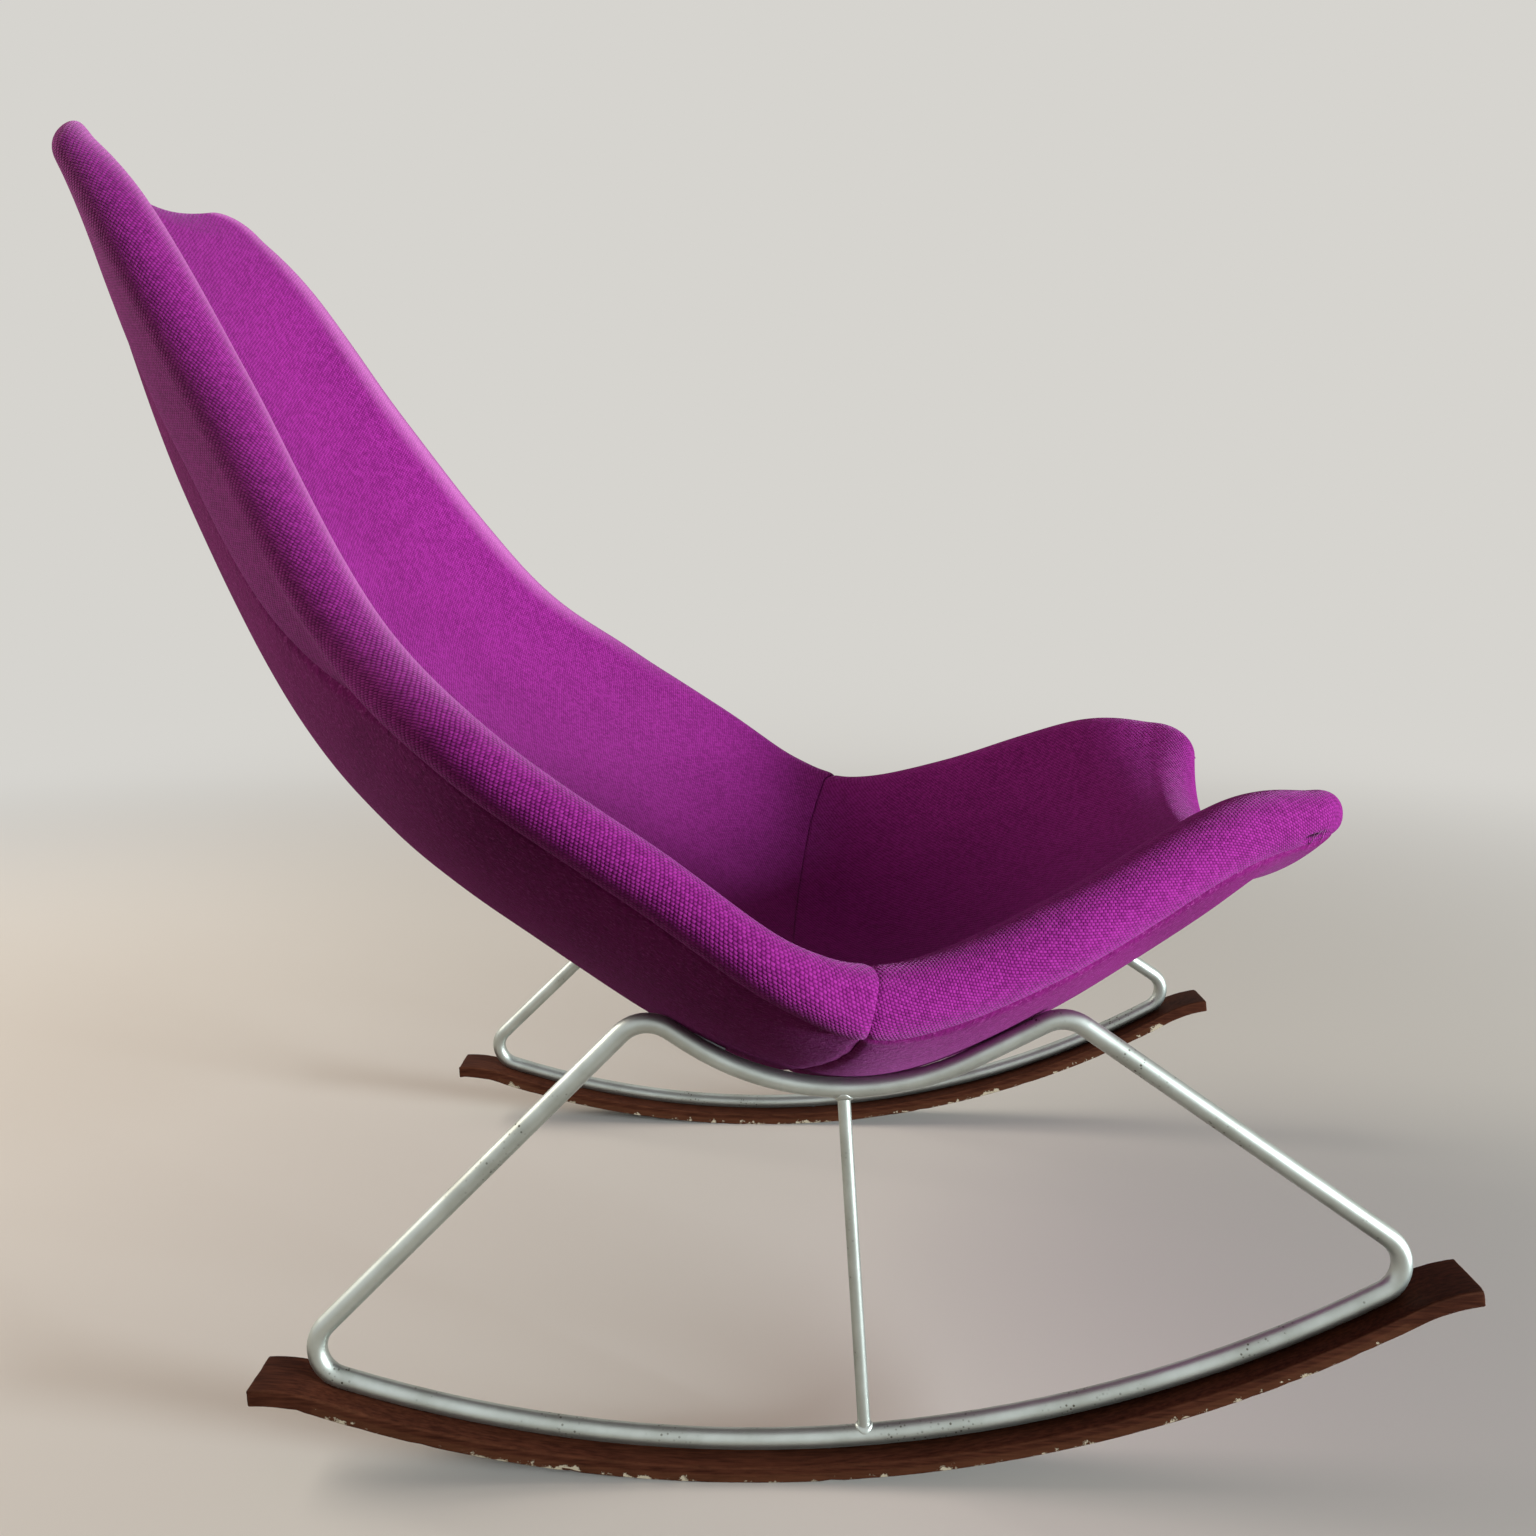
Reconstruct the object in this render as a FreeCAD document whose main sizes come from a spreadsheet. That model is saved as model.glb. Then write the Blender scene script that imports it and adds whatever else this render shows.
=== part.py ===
import FreeCAD, Part
import math
import os
import Sketcher
from FreeCAD import Placement, Rotation, Vector

# Upholstered rocking chair, in millimetres.
# +X is forward, +Y is the sitter's left, +Z is up.
# The origin is on the floor, midway between the two skids and at the middle of the chair's length.
# Places along X are counted from the lowest point of the rockers, rocker_x in front of the origin.

doc = FreeCAD.newDocument("rocking_chair")
sheet = doc.addObject("Spreadsheet::Sheet", "sizes")

SIZES = [
    # Skids: bent flat bars of wood under the rocker arcs
    ("rocker_x", 9.0),
    ("rocker_radius", 910.0),
    ("rest_flat", 56.0),
    ("skid_track", 563.0),
    ("skid_width", 40.0),
    ("skid_thickness", 12.0),
    ("skid_front_reach", 455.0),
    ("skid_rear_reach", 291.0),
    ("tip_radius", 122.0),
    ("tip_turn", 22.0),
    # Side frames: one loop of bent round rod on each side
    ("rod_diameter", 14.0),
    ("rod_front_reach", 438.0),
    ("rod_rear_reach", 277.0),
    ("corner_bend", 23.0),
    ("shoulder_bend", 26.0),
    ("crotch_bend", 191.0),
    ("rod_top_track", 512.0),
    ("front_shoulder", 222.0),
    ("rear_shoulder", -66.0),
    ("strut_diameter", 9.0),
    ("strut_foot", 88.0),
    # Padded body
    ("piece_gap", 0.3),
    ("back_overhang", 60.0),
    ("seat_overhang", 10.0),
    ("seam_tuck", 0.9),
    ("head_nose", 28.0),
    ("head_draw_in", 32.0),
    ("front_nose", 36.0),
    ("front_draw_in", 32.0),
    # Fixing tabs and their bolts
    ("tab_length", 36.0),
    ("tab_width", 28.0),
    ("tab_thickness", 3.0),
    ("tab_hole_reach", 20.0),
    ("tab_setback", 7.2),
    ("tab_bed", 0.4),
    ("bolt_diameter", 6.0),
    ("bolt_length", 30.0),
    ("bolt_head_diameter", 10.5),
    ("bolt_head_height", 3.3),
    ("washer_diameter", 14.0),
    ("washer_thickness", 1.2),
    ("hole_clearance", 0.4),
    # Screws that hold a skid to its rod
    ("screw_diameter", 5.0),
    ("screw_head_diameter", 9.5),
    ("screw_head_height", 2.5),
    ("screw_length", 16.0),
    ("screw_sink", 1.0),
]

# Stations down the padded body, from the head to the front of the seat.
# Each gives the middle of the edge roll (x, z, half width), how far its section leans from
# level, how deep the middle is dished below the roll, the radius of the roll and the
# thickness of the body at the middle.
STATIONS = [
    ("head", -469.0, 905.0, 142.0, 45.0, 20.0, 16.0, 32.0),
    ("nape", -431.0, 855.0, 158.0, 41.0, 32.0, 22.0, 42.0),
    ("shoulder", -356.0, 736.0, 198.0, 37.0, 54.0, 23.0, 56.0),
    ("ribs", -253.0, 591.0, 282.0, 39.0, 79.0, 20.0, 59.0),
    ("waist", -159.0, 515.0, 350.0, 46.0, 96.0, 17.5, 65.0),
    ("hip", -48.0, 441.0, 369.0, 54.0, 106.0, 17.5, 62.0),
    ("crease", 37.0, 382.0, 373.0, 68.0, 106.0, 18.5, 55.0),
    ("thigh", 105.0, 360.0, 341.0, 83.0, 96.0, 24.5, 51.0),
    ("lap", 207.0, 384.0, 291.0, 97.0, 77.0, 27.0, 50.0),
    ("knee", 333.0, 436.0, 229.0, 96.0, 58.0, 26.5, 52.0),
    ("front", 396.0, 437.0, 195.0, 74.0, 50.0, 22.0, 40.0),
]
STATION_FIELDS = ("x", "z", "half", "lean", "dish", "roll", "thick")

rows = list(SIZES)
for station in STATIONS:
    for field, value in zip(STATION_FIELDS, station[1:]):
        rows.append((station[0] + "_" + field, value))
for number, (alias, value) in enumerate(rows, 1):
    sheet.set("A%d" % number, alias)
    sheet.set("B%d" % number, str(value))
    sheet.setAlias("B%d" % number, alias)
doc.recompute()


def size(alias):
    return float(getattr(sheet, alias))


ROCKER_X = size("rocker_x")

nodes = []


def node(label, shape=None, feature=None):
    """Keep a sub-part: a finished feature, or a shape that becomes one."""
    if feature is None:
        feature = doc.addObject("Part::Feature", label)
        feature.Shape = shape
        feature.Placement = Placement()
    feature.Label = label
    nodes.append(feature)
    return feature


def mirrored(shape):
    """The same piece on the other side of the chair."""
    return shape.mirror(Vector(0, 0, 0), Vector(0, 1, 0))


# Padded body
# Its sections stand square to its side profile. Seen in a section, the front is one dished
# arc, each edge is a round roll that the arc meets tangentially, and the back is a shallower
# arc between the two seams. High on the back that arc runs on smoothly from the rolls; lower
# down the rolls overhang it. A cross seam below the crease divides every layer.

class Section:
    def __init__(self, x, z, half, lean, dish, roll, thick, overhang):
        self.x, self.z, self.half, self.overhang = x, z, half, overhang
        self.lean, self.dish, self.roll, self.thick = lean, dish, roll, thick
        self.dish_radius = (half ** 2 + dish ** 2 - roll ** 2) / (2 * (dish + roll))
        self.dish_middle = self.dish_radius - dish
        self.dish_reach = math.atan2(half, self.dish_middle)
        self.roll_start = math.atan2(self.dish_middle, -half)
        deep = dish + thick
        smooth_radius = (half ** 2 + deep ** 2 - roll ** 2) / (2 * (deep - roll))
        self.roll_end = -math.atan2(smooth_radius - deep, half) - math.radians(overhang)
        seam_y = half + roll * math.cos(self.roll_end)
        rise = deep + roll * math.sin(self.roll_end)
        self.back_radius = (seam_y ** 2 + rise ** 2) / (2 * rise)
        self.back_middle = self.back_radius - deep
        self.back_reach = math.atan2(seam_y, self.back_radius - rise)

    def normal(self):
        lean = math.radians(self.lean)
        return Vector(math.cos(lean), 0, math.sin(lean))

    def point(self, y, n):
        return Vector(ROCKER_X + self.x, y, self.z) + self.normal() * n

    def arc(self, middle_y, middle_n, radius, start, end):
        """Arc in the section; angles run from +Y towards the sitter."""
        angles = (start, (start + end) / 2, end)
        ends = [self.point(middle_y + radius * math.cos(a), middle_n + radius * math.sin(a)) for a in angles]
        return Part.Arc(*ends).toShape()

    def front_arc(self, trim):
        """Dished front, from -Y to +Y."""
        reach = self.dish_reach - trim / self.dish_radius
        return self.arc(0, self.dish_middle, self.dish_radius, -math.pi / 2 - reach, -math.pi / 2 + reach)

    def back_arc(self, trim):
        """Back, from +Y to -Y."""
        reach = self.back_reach - trim / self.back_radius
        return self.arc(0, self.back_middle, self.back_radius, -math.pi / 2 + reach, -math.pi / 2 - reach)

    def roll_arcs(self, side):
        """Two arcs round the edge roll of one side, from the dish to the seam."""
        middle = (self.roll_start + self.roll_end) / 2
        arcs = []
        for a, b in ((self.roll_start, middle), (middle, self.roll_end)):
            if side < 0:
                a, b = math.pi - a, math.pi - b
            arcs.append(self.arc(side * self.half, 0, self.roll, a, b))
        return arcs


SAME_POINT = 1e-6


def closed_wire(edges):
    """Join edges end to end, with straight edges where their ends are apart."""
    ring = []
    for edge, after in zip(edges, edges[1:] + edges[:1]):
        ring.append(edge)
        end = edge.valueAt(edge.LastParameter)
        start = after.valueAt(after.FirstParameter)
        if end.distanceToPoint(start) > SAME_POINT:
            ring.append(Part.LineSegment(end, start).toShape())
    return Part.Wire(ring)


STATION_NAMES = [station[0] for station in STATIONS]
SHOULDER = STATION_NAMES.index("shoulder")
RIBS = STATION_NAMES.index("ribs")
CREASE = STATION_NAMES.index("crease")
LAST = len(STATIONS) - 1
CROSS_SEAM = CREASE + 0.5
# The rolls start to overhang below the shoulder, do so fully at the waist, and less on the seat
OVERHANG_STARTS = (SHOULDER + 0.4, RIBS + 0.8)
OVERHANG_EASES = (CREASE + 0.4, CREASE + 1.4)


def eased(place, span):
    """0 before a span of places, 1 after it, smooth between."""
    share = min(max((place - span[0]) / (span[1] - span[0]), 0.0), 1.0)
    return share * share * (3 - 2 * share)


def station_values(place):
    """Values at a place between the stations, 0 at the head, on a curve through all of them."""
    first = min(int(place), LAST - 1)
    share = place - first
    values = []
    for field in STATION_FIELDS:
        near = [size(STATION_NAMES[min(max(first + k, 0), LAST)] + "_" + field) for k in (-1, 0, 1, 2)]
        slope_in = (near[2] - near[0]) / 2
        slope_out = (near[3] - near[1]) / 2
        rise = near[2] - near[1]
        values.append(near[1] + share * slope_in + share ** 2 * (3 * rise - 2 * slope_in - slope_out)
                      + share ** 3 * (slope_in + slope_out - 2 * rise))
    return values


def section_at(place):
    easing = eased(place, OVERHANG_EASES) * (size("seat_overhang") - size("back_overhang"))
    overhang = eased(place, OVERHANG_STARTS) * (size("back_overhang") + easing)
    return Section(*station_values(place), overhang)


STEPS_PER_STATION = 2


def sections(first, last):
    count = round((last - first) * STEPS_PER_STATION)
    return [section_at(first + k / STEPS_PER_STATION) for k in range(count + 1)]


def loft(outline, where):
    return Part.makeLoft([outline(s) for s in where], True, True)


GAP = size("piece_gap")
CORE_SHARES = (-1.0, -0.5, 0.0, 0.5, 1.0)


def core_line(s, depth, trim, side):
    """Hidden join of pad and shell, level with the middle of the rolls, in straight runs."""
    radius = s.dish_radius + depth
    reach = s.dish_reach - trim / radius
    points = []
    for share in CORE_SHARES:
        turn = side * share * reach
        points.append(s.point(radius * math.sin(turn), s.dish_middle - radius * math.cos(turn)))
    return [Part.LineSegment(a, b).toShape() for a, b in zip(points, points[1:])]


def pad_outline(s):
    """Foam and its cover in front of the shell, between the two edge rolls."""
    return closed_wire([s.front_arc(GAP)] + core_line(s, s.roll - GAP / 2, GAP, -1))


def shell_outline(s):
    """Shell behind the pad, rounded at the back, from seam to seam."""
    return closed_wire(core_line(s, s.roll + GAP / 2, 2 * GAP, 1) + [s.back_arc(size("seam_tuck"))])


def roll_outline(side):
    """Edge roll: a round bar with a wedge cut out for the pad and the shell."""
    def outline(s):
        middle = s.point(side * s.half, 0)
        arcs = s.roll_arcs(side)
        start = arcs[0].valueAt(arcs[0].FirstParameter)
        end = arcs[-1].valueAt(arcs[-1].LastParameter)
        lines = [Part.LineSegment(end, middle).toShape(), Part.LineSegment(middle, start).toShape()]
        return closed_wire(arcs + lines)
    return outline


NOSE_TURNS = (35, 58, 74)
END_STEP = 0.1


def nose_sections(place, inward, reach, draw_in):
    """Sections past an end station, drawn in and thinned to round off the padded end."""
    end = section_at(place)
    before = section_at(place + inward)
    away = Vector(end.x - before.x, 0, end.z - before.z)
    narrowing = (end.half - before.half) / away.Length
    away.normalize()
    made = []
    for turn in NOSE_TURNS:
        level = math.cos(math.radians(turn))
        out = reach * math.sin(math.radians(turn))
        half = end.half + narrowing * out - draw_in * (1 - level)
        dish = end.dish + end.thick * (1 - level) / 2
        made.append(Section(end.x + away.x * out, end.z + away.z * out, half, end.lean, dish,
                            end.roll * level, end.thick * level, end.overhang))
    return made


head_nose = nose_sections(0, END_STEP, size("head_nose"), size("head_draw_in"))
front_nose = nose_sections(LAST, -END_STEP, size("front_nose"), size("front_draw_in"))
back_sections = head_nose[::-1] + sections(0, CROSS_SEAM)
seat_sections = sections(CROSS_SEAM, LAST) + front_nose

# Side frames
# The rod runs along the rocker arc, bends up into the legs, and crosses under the body in a
# shallow V that lies against the outer cover.

ROD = size("rod_diameter") / 2
ROCKER_CENTRE = size("rocker_radius") - size("rest_flat") ** 2 / (8 * size("rocker_radius"))
ROD_ARC = size("rocker_radius") - size("skid_thickness") - GAP - ROD
TRACK = -size("skid_track") / 2
TOP_TRACK = -size("rod_top_track") / 2


SMALL_STEP = 0.05


def skin_point(place, y):
    """Point on the back of the body."""
    s = section_at(place)
    return s.point(y, s.back_middle - math.sqrt(s.back_radius ** 2 - y ** 2))


def skin_directions(place, y):
    """At a point on the back of the body: forward along it, across it to +Y, and out of it."""
    forward = skin_point(place + SMALL_STEP, y) - skin_point(place - SMALL_STEP, y)
    across = skin_point(place, y + SMALL_STEP) - skin_point(place, y - SMALL_STEP)
    out = across.cross(forward).normalize()
    return forward.normalize(), out.cross(forward.normalize()) * -1, out


def underside(place):
    """Middle of a rod at the top track that lies against the body at this place."""
    y = TOP_TRACK
    for _ in range(4):
        out = skin_directions(place, y)[2]
        y = TOP_TRACK - out.y * (ROD + GAP)
    return skin_point(place, y) + out * (ROD + GAP)


def heading_at(place):
    return (underside(place + SMALL_STEP) - underside(place - SMALL_STEP)).normalize()


def on_rocker(x):
    """Point of the rod's rocker arc at a distance forward of its lowest point."""
    return Vector(ROCKER_X + x, TRACK, ROCKER_CENTRE - math.sqrt(ROD_ARC ** 2 - x ** 2))


def along_line(start, heading, x):
    return start + heading * ((ROCKER_X + x - start.x) / heading.x)


def bend_to(start, heading, radius, target):
    """Bend that leaves start along heading and comes out pointing at target."""
    ahead = target - start
    side = (ahead - heading * ahead.dot(heading)).normalize()
    centre = start + side * radius
    seen = target - centre
    turn = math.atan2(seen.dot(side), seen.dot(heading)) - math.acos(radius / seen.Length)
    middle = (turn - math.pi / 2) / 2
    points = [centre + (heading * math.cos(a) + side * math.sin(a)) * radius for a in (middle, turn)]
    return Part.Arc(start, *points).toShape(), points[1]


def rounded(before, corner, after, radius):
    """Arc that rounds a corner, with the points where it leaves the two straight runs."""
    a = (before - corner).normalize()
    b = (after - corner).normalize()
    half = math.acos(a.dot(b)) / 2
    start = corner + a * (radius / math.tan(half))
    end = corner + b * (radius / math.tan(half))
    middle = corner + (a + b).normalize() * (radius / math.sin(half) - radius)
    return start, Part.Arc(start, middle, end).toShape(), end


# Places on the body, counted in stations, where the rod touches it and where the tabs are
REAR_SEAT = CREASE - 0.5
FRONT_SEAT = CREASE + 1.7
REAR_TAB = CREASE - 0.2
FRONT_TAB = FRONT_SEAT

rear_line = (underside(REAR_SEAT), heading_at(REAR_SEAT))
front_line = (underside(FRONT_SEAT), heading_at(FRONT_SEAT))
cross = rear_line[1].x * front_line[1].z - rear_line[1].z * front_line[1].x
apart = front_line[0] - rear_line[0]
crotch = rear_line[0] + rear_line[1] * ((apart.x * front_line[1].z - apart.z * front_line[1].x) / cross)
rear_top = along_line(*rear_line, size("rear_shoulder"))
front_top = along_line(*front_line, size("front_shoulder"))
crotch_start, crotch_arc, crotch_end = rounded(rear_top, crotch, front_top, size("crotch_bend"))


def half_loop(reach, shoulder, run_end):
    """Path from the lowest point of the rocker arc, up one leg, to the V under the body."""
    way = math.copysign(1, reach)
    low, end = on_rocker(0), on_rocker(reach)
    rocker = Part.Arc(low, on_rocker(reach / 2), end).toShape()
    outward = (end - Vector(ROCKER_X, TRACK, ROCKER_CENTRE)).normalize()
    heading = Vector(-outward.z * way, 0, outward.x * way)
    corner, leg_start = bend_to(end, heading, size("corner_bend"), shoulder)
    leg_end, bend, run_start = rounded(leg_start, shoulder, run_end, size("shoulder_bend"))
    leg = Part.LineSegment(leg_start, leg_end).toShape()
    run = Part.LineSegment(run_start, run_end).toShape()
    return [rocker, corner, leg, bend, run]


def rod_along(edge, radius):
    """Straight or bent length of rod."""
    start = edge.valueAt(edge.FirstParameter)
    heading = edge.tangentAt(edge.FirstParameter)
    if isinstance(edge.Curve, Part.Line):
        return Part.makeCylinder(radius, edge.Length, start, heading)
    end_face = Part.Face(Part.Wire([Part.makeCircle(radius, start, heading)]))
    turn = math.degrees(edge.LastParameter - edge.FirstParameter)
    return end_face.revolve(edge.Curve.Center, edge.Curve.Axis, turn)


loop = half_loop(size("rod_front_reach"), front_top, crotch_end)
loop += half_loop(-size("rod_rear_reach"), rear_top, crotch_start) + [crotch_arc]
lengths = [rod_along(edge, ROD) for edge in loop]
side_rod = lengths[0].multiFuse(lengths[1:]).removeSplitter()

# Struts, from the low point of the V to the rocker arc

strut_top = crotch_arc.Curve.Center - Vector(0, 0, size("crotch_bend"))
strut_bottom = on_rocker(size("strut_foot"))
strut_way = (strut_bottom - strut_top).normalize()
strut_length = (strut_bottom - strut_top).Length


def turned_to(way):
    """Rotation that takes +Z to a direction."""
    return Rotation(Vector(0, 0, 1), way)


# Its ends are cut to saddles that sit on the two rods
saddles = Part.makeCompound([rod_along(edge, ROD + GAP) for edge in (crotch_arc, loop[0])])

for side, way_y in (("right", 1), ("left", -1)):
    bar = doc.addObject("Part::Cylinder", "strut_bar_" + side)
    bar.setExpression("Radius", "sizes.strut_diameter / 2")
    bar.Height = strut_length
    start = Vector(strut_top.x, strut_top.y * way_y, strut_top.z)
    bar.Placement = Placement(start, turned_to(Vector(strut_way.x, strut_way.y * way_y, strut_way.z)))
    seats = doc.addObject("Part::Feature", "strut_saddles_" + side)
    seats.Shape = saddles if way_y > 0 else mirrored(saddles)
    strut = doc.addObject("Part::Cut", "strut_" + side)
    strut.Base, strut.Tool = bar, seats
    node("strut_" + side, feature=strut)


# Turned and plate pieces, each drawn once and set in place as copies

def plane(body, role):
    return [f for f in body.Origin.OriginFeatures if f.Role == role][0]


def total(terms):
    return sum(factor * size(alias) for alias, factor in terms)


def formula(terms):
    return " + ".join("(%r) * sizes.%s" % (factor, alias) for alias, factor in terms)


def new_body(name, role):
    body = doc.addObject("PartDesign::Body", name)
    sketch = body.newObject("Sketcher::SketchObject", name + "_profile")
    sketch.AttachmentSupport = [(plane(body, role), "")]
    sketch.MapMode = "FlatFace"
    return body, sketch


def polygon(sketch, corners):
    """Closed outline whose corners are tied to the sheet; an empty term list is zero."""
    points = [Vector(total(x), total(y), 0) for x, y in corners]
    first = sketch.GeometryCount
    for a, b in zip(points, points[1:] + points[:1]):
        sketch.addGeometry(Part.LineSegment(a, b), False)
    count = len(points)
    for k in range(count):
        sketch.addConstraint(Sketcher.Constraint("Coincident", first + k, 2, first + (k + 1) % count, 1))
    for k, corner in enumerate(corners):
        for kind, axis, terms in (("DistanceX", -2, corner[0]), ("DistanceY", -1, corner[1])):
            if not terms:
                sketch.addConstraint(Sketcher.Constraint("PointOnObject", first + k, 1, axis))
                continue
            made = sketch.addConstraint(Sketcher.Constraint(kind, -1, 1, first + k, 1, total(terms)))
            sketch.setExpression("Constraints[%d]" % made, formula(terms))


def turned(name, corners):
    """Piece turned about its own Z axis; corners are (radius, height)."""
    body, sketch = new_body(name, "XZ_Plane")
    polygon(sketch, corners)
    turn = body.newObject("PartDesign::Revolution", name + "_turn")
    turn.Profile = sketch
    turn.ReferenceAxis = (sketch, ["V_Axis"])
    turn.Angle = 360.0
    doc.recompute()
    return body


def half_of(alias):
    return [(alias, 0.5)]


def up(alias, factor=1.0):
    return [(alias, factor)]


HOLE = size("hole_clearance")
BOLT_BORE = size("bolt_diameter") / 2 + HOLE

tab_bolt = turned("tab_bolt", [
    ([], up("bolt_head_height")),
    (half_of("bolt_head_diameter"), up("bolt_head_height")),
    (half_of("bolt_head_diameter"), []),
    (half_of("bolt_diameter"), []),
    (half_of("bolt_diameter"), up("bolt_length", -1.0)),
    ([], up("bolt_length", -1.0)),
])
tab_washer = turned("tab_washer", [
    (half_of("bolt_diameter") + up("hole_clearance"), []),
    (half_of("washer_diameter"), []),
    (half_of("washer_diameter"), up("washer_thickness")),
    (half_of("bolt_diameter") + up("hole_clearance"), up("washer_thickness")),
])
skid_screw = turned("skid_screw", [
    ([], up("screw_sink")),
    (half_of("screw_head_diameter"), up("screw_sink")),
    (half_of("screw_diameter"), up("screw_sink") + up("screw_head_height")),
    (half_of("screw_diameter"), up("screw_length")),
    ([], up("screw_length")),
])

fixing_tab, tab_sketch = new_body("fixing_tab", "XY_Plane")
inner_edge = up("tab_hole_reach") + up("tab_length", -1.0)
polygon(tab_sketch, [
    (inner_edge, up("tab_width", -0.5)),
    (up("tab_hole_reach"), up("tab_width", -0.5)),
    (up("tab_hole_reach"), up("tab_width", 0.5)),
    (inner_edge, up("tab_width", 0.5)),
])
tab_plate = fixing_tab.newObject("PartDesign::Pad", "tab_plate")
tab_plate.Profile = tab_sketch
tab_plate.setExpression("Length", "sizes.tab_thickness")
doc.recompute()
hole_sketch = fixing_tab.newObject("Sketcher::SketchObject", "tab_hole_profile")
hole_sketch.AttachmentSupport = [(plane(fixing_tab, "XY_Plane"), "")]
hole_sketch.MapMode = "FlatFace"
hole_sketch.addGeometry(Part.Circle(Vector(0, 0, 0), Vector(0, 0, 1), BOLT_BORE), False)
hole_sketch.addConstraint(Sketcher.Constraint("Coincident", 0, 3, -1, 1))
made = hole_sketch.addConstraint(Sketcher.Constraint("Radius", 0, BOLT_BORE))
hole_sketch.setExpression("Constraints[%d]" % made, "sizes.bolt_diameter / 2 + sizes.hole_clearance")
tab_hole = fixing_tab.newObject("PartDesign::Pocket", "tab_hole")
tab_hole.Profile = hole_sketch
tab_hole.Type = "ThroughAll"
tab_hole.Midplane = True
doc.recompute()

# Where the fixings go
# Each bolt stands square on the back of the body, beside the rod, at a place where the rod
# touches the cover.

class Fixing:
    def __init__(self, place, side):
        y = side * (-TOP_TRACK - size("tab_setback") - size("tab_hole_reach"))
        self.skin = skin_point(place, y)
        _, across, self.out = skin_directions(place, y)
        self.across = across * side

    def set_at(self, shape, height):
        """Copy of a piece with its Z axis pointing out of the body, its base at a height above the cover."""
        turn = Rotation(self.across, self.out.cross(self.across), self.out, "ZXY")
        copy = shape.copy()
        copy.Placement = Placement(self.skin + self.out * height, turn)
        return copy

    def bore(self, radius, deep, shallow):
        """Cylinder about the bolt between two heights above the cover."""
        return Part.makeCylinder(radius, shallow - deep, self.skin + self.out * deep, self.out)


right_fixings = [Fixing(place, -1) for place in (REAR_TAB, FRONT_TAB)]
left_fixings = [Fixing(place, 1) for place in (REAR_TAB, FRONT_TAB)]
fixings = right_fixings + left_fixings

TAB_BASE = -size("tab_bed")
WASHER_BASE = TAB_BASE + size("tab_thickness")
HEAD_BASE = WASHER_BASE + size("washer_thickness")
bolt_bores = [f.bore(BOLT_BORE, HEAD_BASE - size("bolt_length") - GAP, HEAD_BASE) for f in fixings]


def drilled(shape, tools):
    return shape.cut(Part.makeCompound(tools))


# Padded body, then the pieces that fix it to the frames

node("back_pad", loft(pad_outline, back_sections))
node("seat_pad", loft(pad_outline, seat_sections))
for side, way_y in (("right", -1), ("left", 1)):
    node("back_roll_" + side, loft(roll_outline(way_y), back_sections))
    node("seat_roll_" + side, loft(roll_outline(way_y), seat_sections))
node("back_shell", drilled(loft(shell_outline, back_sections), bolt_bores))
node("seat_shell", drilled(loft(shell_outline, seat_sections), bolt_bores))
node("fixing_tabs_right", Part.makeCompound([f.set_at(fixing_tab.Shape, TAB_BASE) for f in right_fixings]))
node("fixing_tabs_left", Part.makeCompound([f.set_at(fixing_tab.Shape, TAB_BASE) for f in left_fixings]))
node("tab_washers", Part.makeCompound([f.set_at(tab_washer.Shape, WASHER_BASE) for f in fixings]))
node("tab_bolts", Part.makeCompound([f.set_at(tab_bolt.Shape, HEAD_BASE) for f in fixings]))

# Skids
# Each is a flat bar bent to the rocker circle, with tips that bend back the other way and a
# short worn flat where it rests.

SCREW_ANGLES = (-13.0, 4.0, 22.0)
SCREW_BORE = size("screw_diameter") / 2 + HOLE
HEAD_BORE = size("screw_head_diameter") / 2 + HOLE


def on_skid(angle, y):
    """Placement at the underside of a skid, its Z axis pointing at the rocker's centre."""
    out = Vector(math.sin(math.radians(angle)), 0, -math.cos(math.radians(angle)))
    base = Vector(ROCKER_X, y, ROCKER_CENTRE) + out * size("rocker_radius")
    return Placement(base, Rotation(Vector(0, 1, 0), -angle))


DOWN = -90.0
UP = 90.0


def sector(name, centre, radius, turn, start):
    """Ring as thick as a skid, over a turn from a start angle above +X."""
    ring = []
    for part, sign in (("outside", 0.5), ("inside", -0.5)):
        disc = doc.addObject("Part::Cylinder", name + "_" + part)
        disc.setExpression("Radius", "%s + %r * sizes.skid_thickness" % (radius, sign))
        disc.setExpression("Height", "sizes.skid_width")
        disc.Placement = Placement(centre, Rotation(Vector(1, 0, 0), 90) * Rotation(Vector(0, 0, 1), start))
        ring.append(disc)
    ring[0].setExpression("Angle", turn)
    bar = doc.addObject("Part::Cut", name)
    bar.Base, bar.Tool = ring
    return bar


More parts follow.
